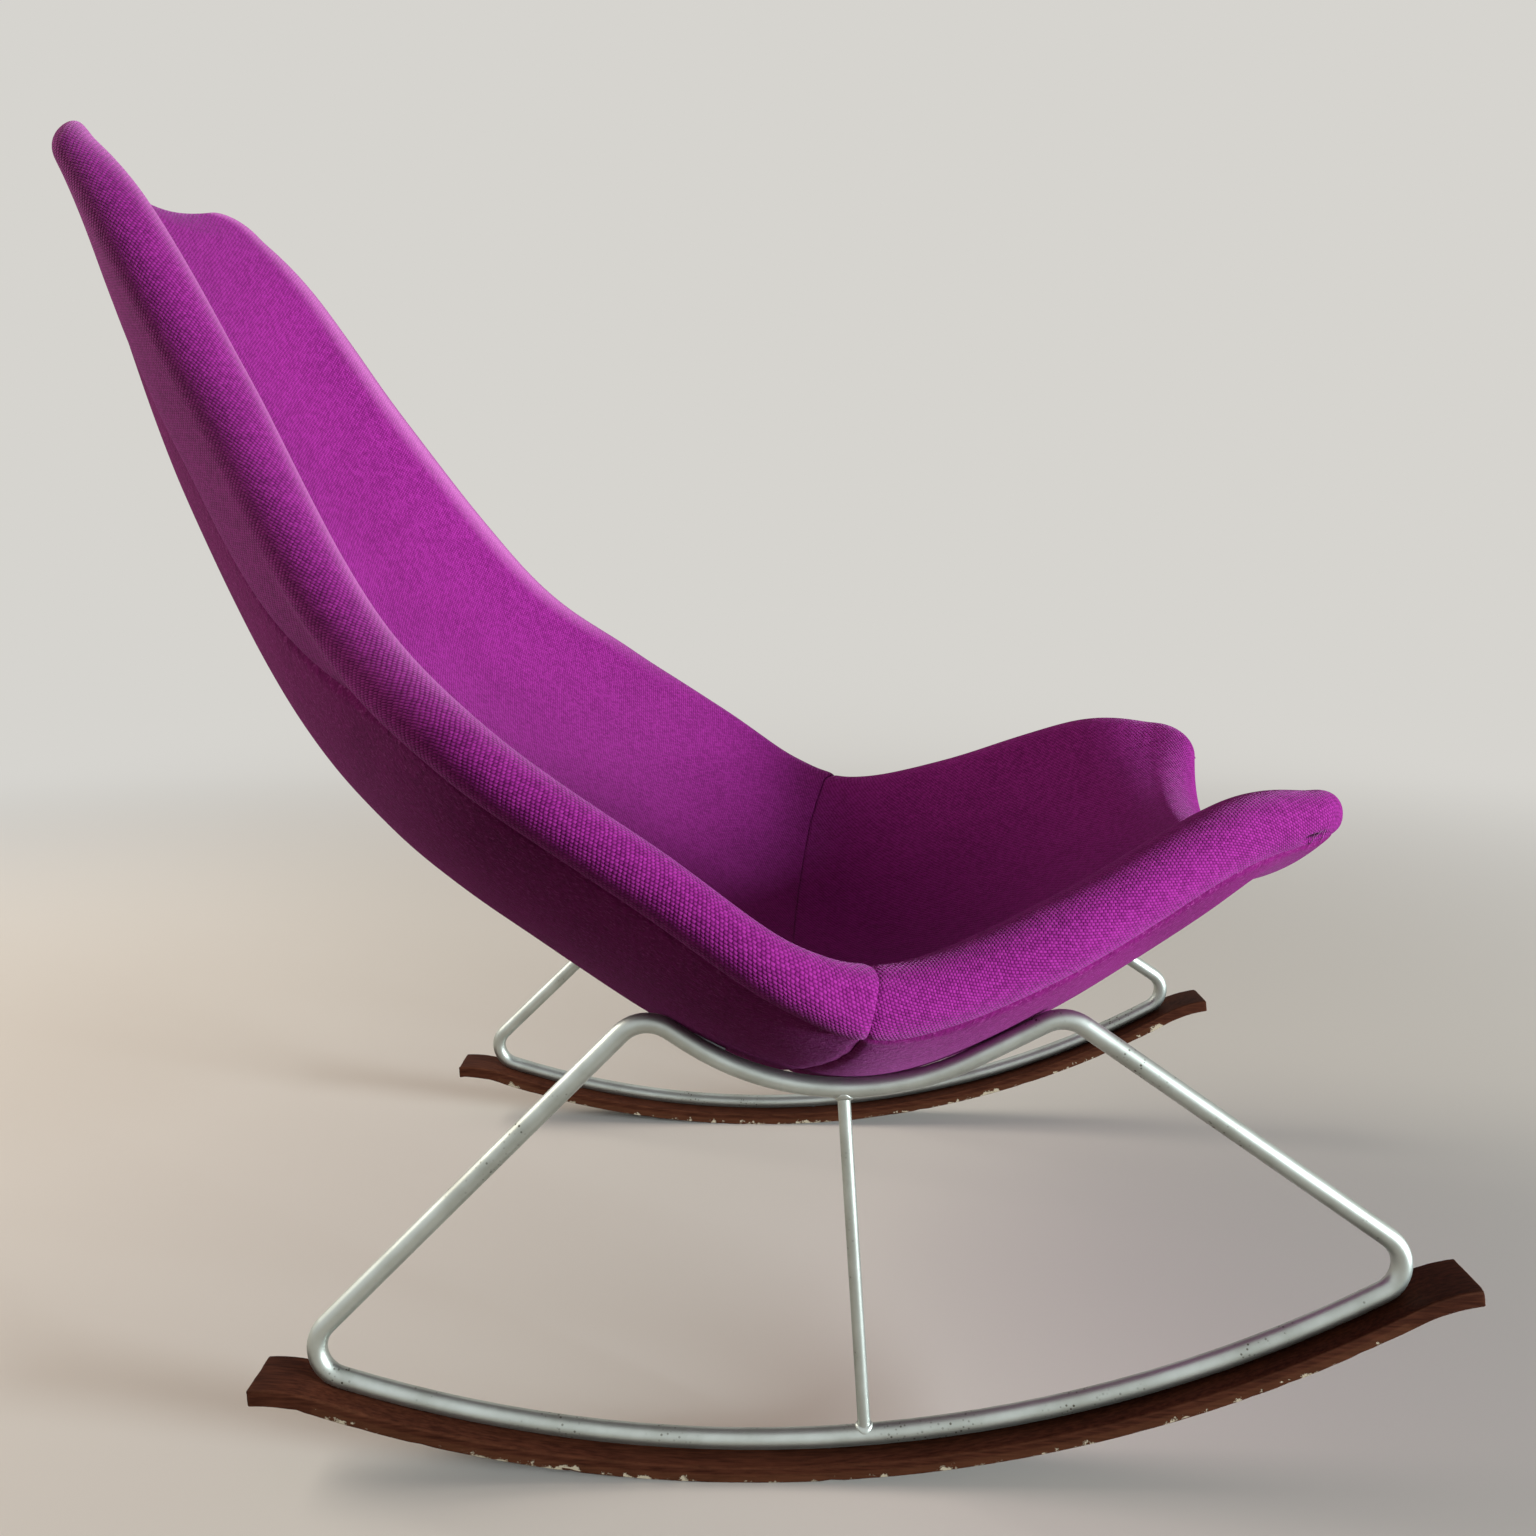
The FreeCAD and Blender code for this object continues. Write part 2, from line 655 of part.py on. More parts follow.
def skid(side, y):
    middle = "(sizes.rocker_radius - 0.5 * sizes.skid_thickness)"
    front = math.degrees(math.asin(size("skid_front_reach") / size("rocker_radius")))
    rear = math.degrees(math.asin(size("skid_rear_reach") / size("rocker_radius")))
    turn = ("asin(sizes.skid_front_reach / sizes.rocker_radius)"
            " + asin(sizes.skid_rear_reach / sizes.rocker_radius)")
    edge = y + size("skid_width") / 2
    centre = Vector(ROCKER_X, edge, ROCKER_CENTRE)
    tip_middle = size("rocker_radius") - size("skid_thickness") / 2 + size("tip_radius")
    tip_turn = size("tip_turn")
    bars = [sector("skid_arc_" + side, centre, middle, turn, DOWN - rear)]
    for tip, angle, start in (("front", front, UP + front - tip_turn), ("rear", -rear, UP - rear)):
        out = Vector(math.sin(math.radians(angle)), 0, -math.cos(math.radians(angle)))
        bars.append(sector("skid_%s_tip_%s" % (tip, side), centre + out * tip_middle, "sizes.tip_radius",
                           "sizes.tip_turn * 1 deg", start))
    whole = doc.addObject("Part::MultiFuse", "skid_bar_" + side)
    whole.Shapes = bars
    whole.Refine = True
    below = Vector(ROCKER_X - size("rest_flat"), y - size("skid_width") / 2, -size("skid_thickness"))
    tools = [Part.makeBox(2 * size("rest_flat"), size("skid_width"), size("skid_thickness"), below)]
    for angle in SCREW_ANGLES:
        sink = size("screw_sink")
        taper = size("screw_head_height")
        cut = Part.makeCylinder(SCREW_BORE, 2 * size("skid_thickness"))
        cut = cut.fuse(Part.makeCone(HEAD_BORE, SCREW_BORE, taper, Vector(0, 0, sink)))
        cut = cut.fuse(Part.makeCylinder(HEAD_BORE, sink + GAP, Vector(0, 0, -GAP)))
        cut.Placement = on_skid(angle, y)
        tools.append(cut)
    cuts = doc.addObject("Part::Feature", "skid_cuts_" + side)
    cuts.Shape = Part.makeCompound(tools)
    bar = doc.addObject("Part::Cut", "skid_" + side)
    bar.Base, bar.Tool = whole, cuts
    return bar


def skid_screws(y):
    made = []
    for angle in SCREW_ANGLES:
        copy = skid_screw.Shape.copy()
        copy.Placement = on_skid(angle, y)
        made.append(copy)
    return Part.makeCompound(made)


rod_bores = []
for angle in SCREW_ANGLES:
    bore = Part.makeCylinder(SCREW_BORE, size("screw_length") + GAP)
    bore.Placement = on_skid(angle, TRACK)
    rod_bores.append(bore)
side_rod = drilled(side_rod, rod_bores)

node("side_frame_right", side_rod)
node("side_frame_left", mirrored(side_rod))
for side, y in (("right", TRACK), ("left", -TRACK)):
    node("skid_" + side, feature=skid(side, y))
    node("skid_screws_" + side, skid_screws(y))

# Check every piece, then write it

doc.recompute()
for feature in doc.Objects:
    if "Invalid" in feature.State or "Error" in feature.State:
        raise RuntimeError("feature failed: " + feature.Label)
os.makedirs("parts", exist_ok=True)
for feature in nodes:
    if feature.Shape.isNull() or not feature.Shape.isValid():
        raise RuntimeError("shape not valid: " + feature.Label)
    feature.Shape.exportStep("parts/" + feature.Label + ".step")
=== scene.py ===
import math
import bmesh
import bpy
from mathutils import Matrix, Vector, noise


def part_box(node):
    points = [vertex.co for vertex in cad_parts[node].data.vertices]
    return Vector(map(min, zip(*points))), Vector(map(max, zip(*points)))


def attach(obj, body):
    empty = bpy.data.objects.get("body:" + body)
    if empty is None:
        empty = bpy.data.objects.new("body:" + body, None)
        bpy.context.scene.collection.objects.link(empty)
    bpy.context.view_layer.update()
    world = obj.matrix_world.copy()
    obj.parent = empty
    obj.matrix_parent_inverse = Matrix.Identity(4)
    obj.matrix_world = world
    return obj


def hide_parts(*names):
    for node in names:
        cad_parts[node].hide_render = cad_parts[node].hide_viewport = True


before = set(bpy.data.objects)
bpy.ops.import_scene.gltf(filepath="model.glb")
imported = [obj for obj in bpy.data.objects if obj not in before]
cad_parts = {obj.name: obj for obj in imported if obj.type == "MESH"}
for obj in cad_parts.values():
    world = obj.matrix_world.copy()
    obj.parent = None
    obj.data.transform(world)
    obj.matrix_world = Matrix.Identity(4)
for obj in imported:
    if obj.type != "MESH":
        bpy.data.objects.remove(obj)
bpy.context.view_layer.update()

# Skids
# Two flat bars of beech, steam-bent to the rocker circle with tips that turn back level.
# They are stained dark brown and lacquered, and the lacquer has chipped off the lower edges.

ROCKER_X = 0.009
ROCKER_RADIUS = 0.910
REST_FLAT = 0.056
ROCKER_CENTRE = Vector((ROCKER_X, 0, ROCKER_RADIUS - REST_FLAT ** 2 / (8 * ROCKER_RADIUS)))
SKID_WIDTH = 0.040
SKID_THICKNESS = 0.012
SKID_TRACK = 0.563
SKID_FRONT = math.asin(0.455 / ROCKER_RADIUS)
SKID_REAR = math.asin(0.291 / ROCKER_RADIUS)
TIP_RADIUS = 0.122
TIP_TURN = math.radians(22)
SKID_EDGE = 0.0013
NICK_DEPTH = 0.0011
# How worn the lacquer is along the upper and the lower edges, and how that fades up the sides
UPPER_EDGE_WEAR = 0.6
LOWER_EDGE_WEAR = 1.06
SIDE_WEAR_FADE = 0.5
SIDE_WEAR_TOP = 0.6
ACROSS = Vector((0, 1, 0))


class Value:
    """A socket in a finish's node tree. Sums on it add the Math nodes that work them out."""

    def __init__(self, tree, socket=None):
        self.tree = tree
        self.socket = socket

    def node(self, kind, settings, inputs, output=0):
        made = self.tree.nodes.new("ShaderNode" + kind)
        for name, value in settings.items():
            setattr(made, name, value)
        for key, value in inputs.items():
            if isinstance(value, Value):
                self.tree.links.new(value.socket, made.inputs[key])
            else:
                made.inputs[key].default_value = value
        return Value(self.tree, made.outputs[output])

    def math(self, operation, *values):
        return self.node("Math", {"operation": operation}, dict(enumerate(values)))

    def __add__(self, other):
        return self.math("ADD", self, other)

    def __sub__(self, other):
        return self.math("SUBTRACT", self, other)

    def __rsub__(self, other):
        return self.math("SUBTRACT", other, self)

    def __mul__(self, other):
        return self.math("MULTIPLY", self, other)

    def __pow__(self, other):
        return self.math("POWER", self, other)

    __radd__ = __add__
    __rmul__ = __mul__

    def step(self, low, high):
        """0 below low, 1 above high, smooth between."""
        return self.node("MapRange", {"interpolation_type": "SMOOTHSTEP"},
                         {"Value": self, "From Min": low, "From Max": high})

    def mix(self, first, second):
        """Colour between two, with this value as the share of the second."""
        return self.node("Mix", {"data_type": "RGBA"}, {0: self, 6: first, 7: second}, output=2)

    def place(self, scale=(1, 1, 1)):
        """Object coordinates, stretched."""
        where = self.node("TexCoord", {}, {}, output=3)
        return self.node("Mapping", {}, {"Vector": where, "Scale": scale})

    def noise(self, where, scale, detail=3.0, roughness=0.55):
        return self.node("TexNoise", {}, {"Vector": where, "Scale": scale, "Detail": detail,
                                          "Roughness": roughness})

    def bump(self, height, distance, strength=1.0):
        return self.node("Bump", {}, {"Height": height, "Distance": distance, "Strength": strength})

    def drive(self, socket):
        self.tree.links.new(self.socket, self.tree.nodes["Principled BSDF"].inputs[socket])


def colour(red, green, blue):
    """Linear colour from the 0 to 255 values of a paint chart."""
    def linear(level):
        level /= 255
        return level / 12.92 if level < 0.04045 else ((level + 0.055) / 1.055) ** 2.4
    return (linear(red), linear(green), linear(blue), 1)


def new_finish(name, constants):
    """A material with its fixed values set on its shader, and a start for its node sums."""
    material = bpy.data.materials.new(name)
    material.use_nodes = True
    for socket, value in constants.items():
        material.node_tree.nodes["Principled BSDF"].inputs[socket].default_value = value
    return material, Value(material.node_tree)


def add_piece(name, bm, material):
    """Makes a piece from a bmesh, riding on the chair."""
    mesh = bpy.data.meshes.new(name)
    bm.to_mesh(mesh)
    bm.free()
    mesh.shade_smooth()
    mesh.materials.append(material)
    made = bpy.data.objects.new(name, mesh)
    bpy.context.scene.collection.objects.link(made)
    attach(made, "root")
    return made


def lacquer_finish():
    material, start = new_finish("chipped_lacquer", {"Coat Roughness": 0.4, "Specular IOR Level": 0.04})
    grain_place = start.place((6, 60, 60))
    grain = start.noise(grain_place, 9.0, 5.0)
    cloud = start.noise(start.place(), 14.0)
    rim = start.node("Attribute", {"attribute_name": "rim"}, {}, output=2)
    flake = start.noise(start.place(), 170.0, 4.0, 0.7)
    patch = start.noise(start.place(), 48.0, 2.0)
    bare = (rim * (0.45 + 0.75 * patch) + flake * 0.8).step(1.25, 1.31)
    paled = (rim * 0.8 + flake * 0.5 + patch * 0.3).step(0.7, 1.1)
    brown = (grain * 0.7 + cloud * 0.3).step(0.3, 0.7).mix(colour(52, 24, 15), colour(86, 47, 32))
    lightened = (paled * 0.25).mix(brown, colour(116, 74, 50))
    bare.mix(lightened, colour(203, 186, 158)).drive("Base Color")
    (0.48 + 0.16 * cloud + 0.3 * bare).drive("Roughness")
    (0.02 - 0.02 * bare).drive("Coat Weight")
    start.bump(grain * 0.25 - bare, 0.0006, 0.7).drive("Normal")
    return material


def skid_bar(y):
    """Bar swept from its rear tip, along the rocker circle, to its front tip."""
    bm = bmesh.new()
    rim = bm.verts.layers.float.new("rim")
    bmesh.ops.create_grid(bm, x_segments=8, y_segments=4, size=0.5)
    bmesh.ops.scale(bm, verts=bm.verts, vec=(SKID_WIDTH, SKID_THICKNESS, 1))
    bmesh.ops.rotate(bm, verts=bm.verts, matrix=Matrix.Rotation(math.pi / 2, 3, "X"))
    bmesh.ops.rotate(bm, verts=bm.verts, matrix=Matrix.Rotation(math.pi / 2, 3, "Z"))
    centre = ROCKER_CENTRE + ACROSS * y
    middle_radius = ROCKER_RADIUS - SKID_THICKNESS / 2
    bmesh.ops.translate(bm, verts=bm.verts, vec=centre - Vector((0, 0, middle_radius)))

    def tip_centre(angle):
        out = Vector((math.sin(angle), 0, -math.cos(angle)))
        return centre + out * (middle_radius + TIP_RADIUS)

    rear_tip, front_tip = tip_centre(-SKID_REAR), tip_centre(SKID_FRONT)
    bmesh.ops.rotate(bm, verts=bm.verts, cent=centre, matrix=Matrix.Rotation(SKID_REAR, 3, ACROSS))
    bmesh.ops.rotate(bm, verts=bm.verts, cent=rear_tip, matrix=Matrix.Rotation(-TIP_TURN, 3, ACROSS))
    end = list(bm.verts) + list(bm.edges) + list(bm.faces)
    for middle, way, angle, steps in ((rear_tip, 1, TIP_TURN, 8),
                                      (centre, -1, SKID_REAR + SKID_FRONT, 90),
                                      (front_tip, 1, TIP_TURN, 8)):
        swept = bmesh.ops.spin(bm, geom=end, cent=middle, axis=ACROSS * way, angle=angle, steps=steps)
        end = swept["geom_last"]
    bmesh.ops.remove_doubles(bm, verts=bm.verts, dist=1e-6)
    bmesh.ops.recalc_face_normals(bm, faces=bm.faces)
    corners = [e for e in bm.edges if e.is_manifold and e.calc_face_angle() > math.radians(60)]
    rounded = bmesh.ops.bevel(bm, geom=corners, offset=SKID_EDGE, segments=3, profile=0.5,
                              affect="EDGES", material=-1)
    for vert in rounded["verts"]:
        vert[rim] = UPPER_EDGE_WEAR
        nick = noise.noise(vert.co * 90) + 0.6 * noise.noise(vert.co * 260)
        vert.co += -vert.normal * NICK_DEPTH * max(0.0, nick - 0.15)
    for vert in bm.verts:
        spot = vert.co - centre
        on_arc = -SKID_REAR < math.atan2(spot.x, -spot.z) < SKID_FRONT
        rise = (ROCKER_RADIUS - math.hypot(spot.x, spot.z)) / SKID_THICKNESS
        at_side = abs(spot.y) > 0.99 * SKID_WIDTH / 2
        if on_arc and at_side and rise < SIDE_WEAR_TOP:
            vert[rim] = LOWER_EDGE_WEAR - SIDE_WEAR_FADE * max(rise, 0.0)
        vert.co.z = max(vert.co.z, 0.0)
    return bm


skid_lacquer = lacquer_finish()
for side, y in (("right", -SKID_TRACK / 2), ("left", SKID_TRACK / 2)):
    skid = add_piece("skid_bar_" + side, skid_bar(y), skid_lacquer)
    skid.modifiers.new("flats", "WEIGHTED_NORMAL")
    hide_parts("skid_" + side)

# Side frames and struts
# Each side is one loop of round steel rod, bent cold and welded shut, with a thinner strut
# welded in from the V down to the rocker arc. All of it is nickel plated, dulled and pitted.


def nickel_finish():
    material, start = new_finish("satin_nickel", {"Metallic": 1.0})
    cloud = start.noise(start.place(), 22.0, 4.0)
    fine = start.noise(start.place(), 420.0, 2.0)
    speck = start.node("TexVoronoi", {}, {"Vector": start.place(), "Scale": 260.0})
    pit = (1.0 - speck.step(0.12, 0.3)) * cloud.step(0.5, 0.68)
    dull = cloud.step(0.3, 0.75).mix(colour(188, 193, 186), colour(160, 163, 154))
    pit.mix(dull, colour(70, 62, 50)).drive("Base Color")
    (0.36 + 0.12 * cloud + 0.06 * fine + 0.2 * pit).drive("Roughness")
    start.bump(fine * 0.15 - pit, 0.0002, 0.5).drive("Normal")
    return material


rod_nickel = nickel_finish()
for name in ("side_frame_right", "side_frame_left", "strut_right", "strut_left"):
    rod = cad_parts[name]
    rod.data.materials.clear()
    rod.data.materials.append(rod_nickel)

# Weld beads
# The two ends of each strut sit in saddles on the rods, each with a small fillet of weld
# run round it and plated over.

ROD_RADIUS = 0.007
STRUT_RADIUS = 0.0045
BEAD_RADIUS = 0.0019
BEAD_LUMPS = 0.0004
STRUT_SINK = 0.75


def weld_bead(bm, foot, way):
    """Ring of weld round a strut whose end stands on the middle of a rod that runs about along X."""
    ring = bmesh.ops.create_circle(bm, segments=10, radius=BEAD_RADIUS)["verts"]
    bmesh.ops.rotate(bm, verts=ring, matrix=Matrix.Rotation(math.pi / 2, 3, "X"))
    bmesh.ops.translate(bm, verts=ring, vec=(STRUT_RADIUS, 0, 0))
    edges = {e for v in ring for e in v.link_edges}
    swept = bmesh.ops.spin(bm, geom=ring + list(edges), cent=(0, 0, 0), axis=(0, 0, 1),
                           angle=2 * math.pi, steps=28, use_merge=True)
    beads = {v for v in swept["geom_last"] if isinstance(v, bmesh.types.BMVert)}
    beads |= set(ring)
    grown = True
    while grown:
        near = {e.other_vert(v) for v in beads for e in v.link_edges} - beads
        beads |= near
        grown = bool(near)
    across_rod = way.cross(Vector((1, 0, 0))).normalized()
    stand = Vector((0, 0, 1)).rotation_difference(way).to_matrix()
    for vert in beads:
        co = stand @ vert.co
        off = min(abs(co.dot(across_rod)), 0.95 * ROD_RADIUS)
        lump = BEAD_LUMPS * noise.noise(co * 500 + foot * 40)
        height = math.sqrt(ROD_RADIUS ** 2 - off ** 2) + lump
        vert.co = foot + co + way * height


beads = bmesh.new()
for name, way_y in (("strut_right", -1), ("strut_left", 1)):
    low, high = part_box(name)
    inner = high.y - STRUT_RADIUS if way_y < 0 else low.y + STRUT_RADIUS
    outer = low.y + STRUT_RADIUS if way_y < 0 else high.y - STRUT_RADIUS
    head = Vector((low.x + STRUT_RADIUS, inner, high.z))
    foot = Vector((high.x - STRUT_RADIUS, outer, low.z))
    down = (foot - head).normalized()
    weld_bead(beads, head - down * ROD_RADIUS * STRUT_SINK, down)
    weld_bead(beads, foot + down * ROD_RADIUS * STRUT_SINK, -down)
bmesh.ops.recalc_face_normals(beads, faces=beads.faces)
add_piece("weld_beads", beads, rod_nickel)

# Skid screws, fixing tabs and their bolts
# Countersunk wood screws hold each skid from below. Plate tabs on the rods take bolts that go up,
# with washers, into the shells of the back and of the seat. All are plain zinc-plated steel.


def zinc_finish():
    material, start = new_finish("zinc_plate", {"Metallic": 1.0})
    spangle = start.node("TexVoronoi", {}, {"Vector": start.place(), "Scale": 160.0}, output=1)
    tone = start.node("SeparateColor", {}, {"Color": spangle})
    grime = start.noise(start.place(), 60.0, 4.0)
    tone.mix(colour(104, 106, 106), colour(136, 138, 138)).drive("Base Color")
    (0.3 + 0.25 * grime).drive("Roughness")
    start.bump(grime, 0.0001, 0.4).drive("Normal")
    return material


zinc = zinc_finish()
for name in ("skid_screws_right", "skid_screws_left", "fixing_tabs_right", "fixing_tabs_left",
             "tab_washers", "tab_bolts"):
    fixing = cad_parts[name]
    fixing.data.materials.clear()
    fixing.data.materials.append(zinc)

# Outer covers
# Felted wool drawn tight over the back of the shell, one panel for the back and one for the
# seat, sewn together under the crease and tucked into the seam below the edge roll.

# Stations down the body from head to front: the middle of the edge roll (x from the rocker's
# lowest point, z, half width), the section's lean in degrees, the dish, the roll's radius and
# the thickness at the middle.
STATIONS = [
    (-0.468, 0.908, 0.143, 45, 0.013, 0.0135, 0.029),
    (-0.429, 0.855, 0.161, 41, 0.030, 0.0205, 0.041),
    (-0.356, 0.736, 0.198, 37, 0.054, 0.023, 0.056),
    (-0.253, 0.591, 0.282, 39, 0.079, 0.020, 0.059),
    (-0.159, 0.515, 0.350, 46, 0.096, 0.0175, 0.065),
    (-0.048, 0.4415, 0.369, 54, 0.106, 0.0168, 0.062),
    (0.037, 0.3835, 0.373, 68, 0.106, 0.0168, 0.055),
    (0.105, 0.360, 0.341, 83, 0.096, 0.0245, 0.051),
    (0.207, 0.384, 0.291, 97, 0.077, 0.027, 0.050),
    (0.333, 0.436, 0.229, 96, 0.058, 0.0265, 0.052),
    (0.396, 0.443, 0.197, 74, 0.050, 0.0225, 0.040),
]
LAST = len(STATIONS) - 1
CROSS_SEAM = 6.5
# How far each padded end runs on past its last station as it rounds off, how far its corners are
# drawn in there, how blunt it is (1 is an ellipse, less is blunter), how far its end sags, and
# where in the thickness its edge lies (0 is the front)
HEAD_NOSE = (0.028, 0.032, 1.0, 0.0, 0.4)
FRONT_NOSE = (0.040, 0.013, 1.05, 0.013, 0.5)
NOSE_END = 0.985
# From the waist down, the inner cover is tucked into a seam under the roll. Above the ribs it
# turns over onto the back instead, and its edge lies flat on the felt.
SEAM_OPENS = 2.4
SEAM_FULL = 3.8
BACK_OVERHANG = math.radians(46)
SEAT_OVERHANG = math.radians(10)
OVERHANG_ENDS = (6.4, 7.4)
SEAM_DEPTH = 0.0040
SEAM_WIDTH = 0.010
BACK_WRAP = 0.050
TUCK_WRAP = 0.0015
TUCK_DEPTH = 0.005
UNDERLAP = 0.008
UNDERLAP_DEPTH = (0.0022, 0.006)
CROSS_DEPTH = 0.0018
CROSS_WIDTH = 0.007
# The cross seam lies back in the dish and forward on the rolls, in stations, and the cloth each
# side of it follows it for a way
CROSS_IN_DISH = -0.08
CROSS_ON_ROLL = 0.20
CROSS_PULL = 1.3
CLOTH_THICKNESS = 0.0018
# Puckers beside the cross seam, and the gentle waves and dimples of cloth over foam
PUCKER_HEIGHT = 0.0006
PUCKER_PITCH = 0.0042
PUCKER_REACH = 0.016
WAVE_HEIGHT = 0.0009
WAVES_PER_METRE = 7
DIMPLE_HEIGHT = 0.0004
DIMPLES_PER_METRE = 19
# How far the cloth may leave its roll, outwards and inwards, as shares of the roll's radius
MOST_OUT = 0.3
MOST_IN = 0.7
# A raised ridge where the dish of the back meets the roll, fading out down the back, painted paler along it
# as a painted highlight
RIDGE_SHARE = 1.12
RIDGE_WIDTH = 0.009
RIDGE_HEIGHT = 0.0016
RIDGE_MOST = 0.1
RIDGE_FADES = (2.6, 2.4)
# A short length of seam that has come open under the right front corner, its opening darkened with painted
# shade
GAP_PLACE = LAST + 0.12
GAP_LENGTH = 0.011
GAP_SHARE = -1.83
GAP_WIDTH = 0.0034
GAP_DEPTH = 0.008


def station_values(place):
    """Values at a place between the stations, on a curve through all of them."""
    first = min(int(place), LAST - 1)
    share = place - first
    made = []
    for field in range(len(STATIONS[0])):
        a, b, c, d = [STATIONS[min(max(first + k, 0), LAST)][field] for k in (-1, 0, 1, 2)]
        slope_in, slope_out, rise = (c - a) / 2, (d - b) / 2, c - b
        made.append(b + share * slope_in + share ** 2 * (3 * rise - 2 * slope_in - slope_out)
                    + share ** 3 * (slope_in + slope_out - 2 * rise))
    return made


def smooth(share):
    """0 to 1, level at both ends."""
    share = min(max(share, 0.0), 1.0)
    return share * share * (3 - 2 * share)


class Section:
    """Cross-section of the padded body. Places below 0 and past the last station round off the ends."""

    def __init__(self, place):
        inside = min(max(place, 0), LAST)
        x, z, half, lean, dish, roll, thick = station_values(inside)
        past = abs(place - inside)
        if past:
            before = station_values(0.1 if place < 0 else LAST - 0.1)
            reach, draw_in, blunt, sag, edge = HEAD_NOSE if place < 0 else FRONT_NOSE
            away = Vector((x - before[0], z - before[1]))
            out = reach * math.sin(past * math.pi / 2)
            level = math.cos(past * math.pi / 2) ** blunt
            half += (half - before[2]) / away.length * out - draw_in * (1 - level)
            away.normalize()
            x, z = x + away.x * out, z + away.y * out - sag * (1 - level)
            dish += thick * (1 - level) * edge
            roll, thick = roll * level, thick * level
        self.middle = Vector((ROCKER_X + x, 0, z))
        self.normal = Vector((math.cos(math.radians(lean)), 0, math.sin(math.radians(lean))))
        self.half, self.roll = half, roll
        self.dish_radius = (half ** 2 + dish ** 2 - roll ** 2) / (2 * (dish + roll))
        self.dish_middle = self.dish_radius - dish
        self.dish_reach = math.atan2(half, self.dish_middle)
        self.roll_start = math.atan2(self.dish_middle, -half)
        deep = dish + thick
        smooth_radius = (half ** 2 + deep ** 2 - roll ** 2) / (2 * (deep - roll))
        smooth_turn = math.atan2(smooth_radius - deep, half)
        self.open = smooth((inside - SEAM_OPENS) / (SEAM_FULL - SEAM_OPENS))
        onto_seat = smooth((inside - OVERHANG_ENDS[0]) / (OVERHANG_ENDS[1] - OVERHANG_ENDS[0]))
        overhang = BACK_OVERHANG + onto_seat * (SEAT_OVERHANG - BACK_OVERHANG)
        self.seam_turn = smooth_turn + self.open * overhang
        seam_y = half + roll * math.cos(self.seam_turn)
        rise = deep - roll * math.sin(self.seam_turn)
        self.back_radius = (seam_y ** 2 + rise ** 2) / (2 * rise)
        self.back_middle = self.back_radius - deep
        self.back_reach = math.atan2(seam_y, self.back_radius - rise)
        self.wrap = (BACK_WRAP * (1 - self.open) + TUCK_WRAP) * smooth(1.25 * roll / STATIONS[0][5] - 0.25)

    def point(self, y, n):
        return self.middle + ACROSS * y + self.normal * n

    def on_back(self, turn, depth):
        radius = self.back_radius - depth
        return self.point(radius * math.sin(turn), self.back_middle - radius * math.cos(turn))

    def outer(self, share, depth):
        """Place on the back, from -1 at one edge to 1 at the other, and how far across it is."""
        reach = self.back_reach - (self.wrap - UNDERLAP * min(1.0, self.roll / 0.01)) / self.back_radius
        from_edge = (1 - abs(share)) * reach * self.back_radius
        under = UNDERLAP_DEPTH[0] + self.open * (UNDERLAP_DEPTH[1] - UNDERLAP_DEPTH[0])
        tucked = under * (1 - smooth((from_edge / UNDERLAP - 0.6) / 0.9))
        depth += min(tucked, 0.8 * self.roll)
        return self.on_back(share * reach, depth), share * reach * self.back_radius

    def inner(self, share, depth):
        """Place on the front. The dish is from -1 to 1, the rolls go on to 2, and the turned edges to 3."""
        side = math.copysign(1, share)
        turn = min(abs(share), 1) * self.dish_reach
        sweep = min(max(abs(share) - 1, 0), 1) * (self.roll_start + self.seam_turn)
        edge = max(abs(share) - 2, 0)
        far = turn * self.dish_radius + sweep * self.roll + edge * self.wrap
        if abs(share) <= 1:
            radius = self.dish_radius + depth
            y, n = radius * math.sin(turn), self.dish_middle - radius * math.cos(turn)
        elif abs(share) <= 2:
            radius = self.roll - depth
            y = self.half + radius * math.cos(self.roll_start - sweep)
            n = radius * math.sin(self.roll_start - sweep)
        else:
            tucked = min(self.open * TUCK_DEPTH * edge, 0.5 * self.roll)
            reach = self.back_reach - edge * self.wrap / self.back_radius
            return self.on_back(side * reach, depth + tucked), side * far
        return self.point(side * y, n), side * far


def groove(away, width, depth):
    """How far a cover dips at a distance from its seam."""
    return depth * max(0.0, 1 - away / width) ** 2


